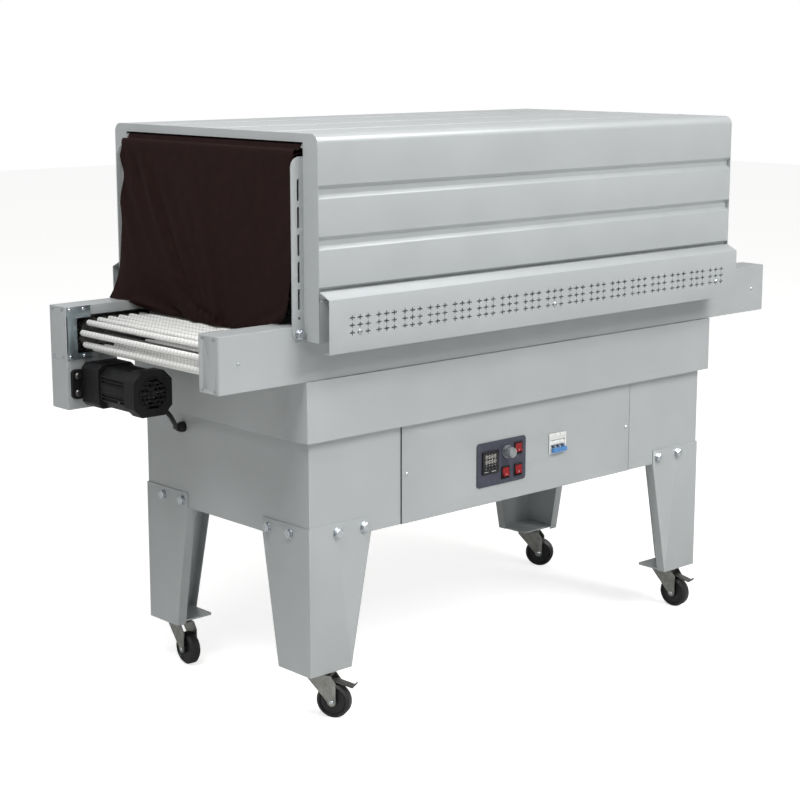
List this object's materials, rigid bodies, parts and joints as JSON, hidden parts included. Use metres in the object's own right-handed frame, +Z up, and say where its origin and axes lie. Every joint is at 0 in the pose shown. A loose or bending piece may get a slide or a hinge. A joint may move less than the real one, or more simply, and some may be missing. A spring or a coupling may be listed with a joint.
{
  "type": "shrink tunnel",
  "caption": "Heat shrink tunnel on casters: grooved hood over a chain roller conveyor, perforated side skirts, end curtains, control panel in the cabinet.",
  "frame": {"origin": "on the floor under the middle of the machine", "axes": "+X along the conveyor towards the exit, -Y towards the control side, +Z up"},
  "size_m": [1.62, 0.7164, 1.157],
  "materials": {
    "grey_coat": "satin powder coat",
    "zinc": "zinc plated",
    "dark_steel": "oiled steel",
    "galvanised": "galvanised sheet",
    "heater_steel": "stainless tube",
    "guide_plastic": "satin",
    "white_sleeve": "silicone sleeve",
    "black_paint": "satin black",
    "black_rubber": "matte",
    "curtain_cloth": "coated cloth",
    "slate_plate": "satin",
    "black_plastic": "satin",
    "knob_grey": "satin",
    "red_plastic": "gloss",
    "white_plastic": "satin",
    "blue_plastic": "satin"
  },
  "bodies": {
    "machine": {"blower_motor": "black_paint", "breaker_body": "white_plastic", "cabinet_band": "grey_coat", "cabinet_shell": "grey_coat", "cable_gland": "black_rubber", "caster_plates": "zinc", "chain_guides": "guide_plastic", "control_door": "grey_coat", "control_plate": "slate_plate", "conveyor_chains": "dark_steel", "conveyor_rollers": "white_sleeve", "curtain_rods": "zinc", "drive_box": "grey_coat", "drive_chain": "dark_steel", "foot_plates": "grey_coat", "frame_bolts": "zinc", "front_rail": "grey_coat", "gearbox": "black_paint", "heater_tubes": "heater_steel", "hood_end_frames": "grey_coat", "hood_liner": "galvanised", "hood_shell": "grey_coat", "legs": "grey_coat", "motor_body": "black_paint", "motor_cable": "black_rubber", "nose_plates": "zinc", "panel_screws": "zinc", "rail_end_caps": "grey_coat", "rear_rail": "grey_coat", "rocker_bezels": "black_plastic", "shaft_bearings": "dark_steel", "side_skirts": "grey_coat", "temperature_controller": "black_plastic", "tunnel_deck": "galvanised"},
    "drive_shaft": {"drive_shaft": "dark_steel"},
    "idle_shaft": {"idle_shaft": "dark_steel"},
    "output_shaft": {"output_shaft": "dark_steel"},
    "motor_fan": {"motor_fan": "black_paint"},
    "blower_wheel": {"blower_impeller": "galvanised"},
    "entrance_curtain": {"entrance_curtain": "curtain_cloth"},
    "exit_curtain": {"exit_curtain": "curtain_cloth"},
    "breaker_toggle": {"breaker_toggle": "blue_plastic"},
    "power_rocker": {"power_rocker": "red_plastic"},
    "fan_rocker": {"fan_rocker": "red_plastic"},
    "conveyor_rocker": {"conveyor_rocker": "red_plastic"},
    "speed_knob": {"speed_knob": "knob_grey"},
    "controller_key_1": {"controller_key_1": "black_plastic"},
    "controller_key_2": {"controller_key_2": "black_plastic"},
    "controller_key_3": {"controller_key_3": "black_plastic"},
    "controller_key_4": {"controller_key_4": "black_plastic"},
    "front_left_swivel": {"front_left_fork": "zinc"},
    "front_left_wheel": {"front_left_wheel": "black_rubber"},
    "front_left_brake": {"front_left_brake": "zinc"},
    "front_right_swivel": {"front_right_fork": "zinc"},
    "front_right_wheel": {"front_right_wheel": "black_rubber"},
    "front_right_brake": {"front_right_brake": "zinc"},
    "rear_left_swivel": {"rear_left_fork": "zinc"},
    "rear_left_wheel": {"rear_left_wheel": "black_rubber"},
    "rear_right_swivel": {"rear_right_fork": "zinc"},
    "rear_right_wheel": {"rear_right_wheel": "black_rubber"}
  },
  "joints": [
    {"name": "drive_spin", "type": "hinge", "parent": "machine", "child": "drive_shaft", "pos_m": [-0.7493, 0, 0.74], "axis": [0, 1, 0], "continuous": true},
    {"name": "idle_spin", "type": "hinge", "parent": "machine", "child": "idle_shaft", "pos_m": [0.7493, 0, 0.74], "axis": [0, 1, 0], "continuous": true},
    {"name": "output_spin", "type": "hinge", "parent": "machine", "child": "output_shaft", "pos_m": [-0.77, 0.237, 0.642], "axis": [0, 1, 0], "continuous": true},
    {"name": "motor_fan_spin", "type": "hinge", "parent": "machine", "child": "motor_fan", "pos_m": [-0.737, 0.05, 0.642], "axis": [0, 1, 0], "continuous": true},
    {"name": "blower_spin", "type": "hinge", "parent": "machine", "child": "blower_wheel", "pos_m": [0, 0, 0.6], "axis": [0, 0, 1], "continuous": true},
    {"name": "entrance_curtain_swing", "type": "hinge", "parent": "machine", "child": "entrance_curtain", "pos_m": [-0.603, 0, 1.131], "axis": [0, 1, 0], "range_deg": [-70, 70]},
    {"name": "exit_curtain_swing", "type": "hinge", "parent": "machine", "child": "exit_curtain", "pos_m": [0.603, 0, 1.131], "axis": [0, 1, 0], "range_deg": [-70, 70]},
    {"name": "breaker_switch", "type": "hinge", "parent": "machine", "child": "breaker_toggle", "pos_m": [0.10775, -0.266, 0.467], "axis": [1, 0, 0], "range_deg": [-80, 0]},
    {"name": "power_switch", "type": "hinge", "parent": "machine", "child": "power_rocker", "pos_m": [-0.018, -0.268, 0.4757], "axis": [1, 0, 0], "range_deg": [0, 16]},
    {"name": "fan_switch", "type": "hinge", "parent": "machine", "child": "fan_rocker", "pos_m": [-0.056, -0.268, 0.4283], "axis": [1, 0, 0], "range_deg": [0, 16]},
    {"name": "conveyor_switch", "type": "hinge", "parent": "machine", "child": "conveyor_rocker", "pos_m": [-0.018, -0.268, 0.4283], "axis": [1, 0, 0], "range_deg": [0, 16]},
    {"name": "speed_turn", "type": "hinge", "parent": "machine", "child": "speed_knob", "pos_m": [-0.0515, -0.28, 0.4725], "axis": [0, 1, 0], "range_deg": [-150, 150]},
    {"name": "key_1_press", "type": "slide", "parent": "machine", "child": "controller_key_1", "axis": [0, 1, 0], "range_m": [0, 0.0012], "stiffness_N_per_m": 250},
    {"name": "key_2_press", "type": "slide", "parent": "machine", "child": "controller_key_2", "axis": [0, 1, 0], "range_m": [0, 0.0012], "stiffness_N_per_m": 250},
    {"name": "key_3_press", "type": "slide", "parent": "machine", "child": "controller_key_3", "axis": [0, 1, 0], "range_m": [0, 0.0012], "stiffness_N_per_m": 250},
    {"name": "key_4_press", "type": "slide", "parent": "machine", "child": "controller_key_4", "axis": [0, 1, 0], "range_m": [0, 0.0012], "stiffness_N_per_m": 250},
    {"name": "front_left_swivel_turn", "type": "hinge", "parent": "machine", "child": "front_left_swivel", "pos_m": [-0.535, -0.235, 0.09], "axis": [0, 0, 1], "continuous": true},
    {"name": "front_left_wheel_roll", "type": "hinge", "parent": "front_left_swivel", "child": "front_left_wheel", "pos_m": [-0.52143, -0.25949, 0.035], "axis": [0.8746, 0.4848, 0], "continuous": true},
    {"name": "front_left_brake_press", "type": "hinge", "parent": "front_left_swivel", "child": "front_left_brake", "pos_m": [-0.5253, -0.25249, 0.08], "axis": [0.8746, 0.4848, 0], "range_deg": [0, 10]},
    {"name": "front_right_swivel_turn", "type": "hinge", "parent": "machine", "child": "front_right_swivel", "pos_m": [0.547, -0.224, 0.09], "axis": [0, 0, 1], "continuous": true},
    {"name": "front_right_wheel_roll", "type": "hinge", "parent": "front_right_swivel", "child": "front_right_wheel", "pos_m": [0.5509, -0.25173, 0.035], "axis": [0.9903, 0.1392, 0], "continuous": true},
    {"name": "front_right_brake_press", "type": "hinge", "parent": "front_right_swivel", "child": "front_right_brake", "pos_m": [0.54978, -0.2438, 0.08], "axis": [0.9903, 0.1392, 0], "range_deg": [0, 10]},
    {"name": "rear_left_swivel_turn", "type": "hinge", "parent": "machine", "child": "rear_left_swivel", "pos_m": [-0.547, 0.224, 0.09], "axis": [0, 0, 1], "continuous": true},
    {"name": "rear_left_wheel_roll", "type": "hinge", "parent": "rear_left_swivel", "child": "rear_left_wheel", "pos_m": [-0.54895, 0.19607, 0.035], "axis": [0.9976, -0.0698, 0], "continuous": true},
    {"name": "rear_right_swivel_turn", "type": "hinge", "parent": "machine", "child": "rear_right_swivel", "pos_m": [0.547, 0.224, 0.09], "axis": [0, 0, 1], "continuous": true},
    {"name": "rear_right_wheel_roll", "type": "hinge", "parent": "rear_right_swivel", "child": "rear_right_wheel", "pos_m": [0.56225, 0.20052, 0.035], "axis": [0.8387, 0.5446, 0], "continuous": true}
  ],
  "couplings": [
    {"joint": "idle_spin", "follows": "drive_spin", "ratio": 1},
    {"joint": "output_spin", "follows": "drive_spin", "ratio": 1},
    {"joint": "motor_fan_spin", "follows": "drive_spin", "ratio": 30}
  ]
}
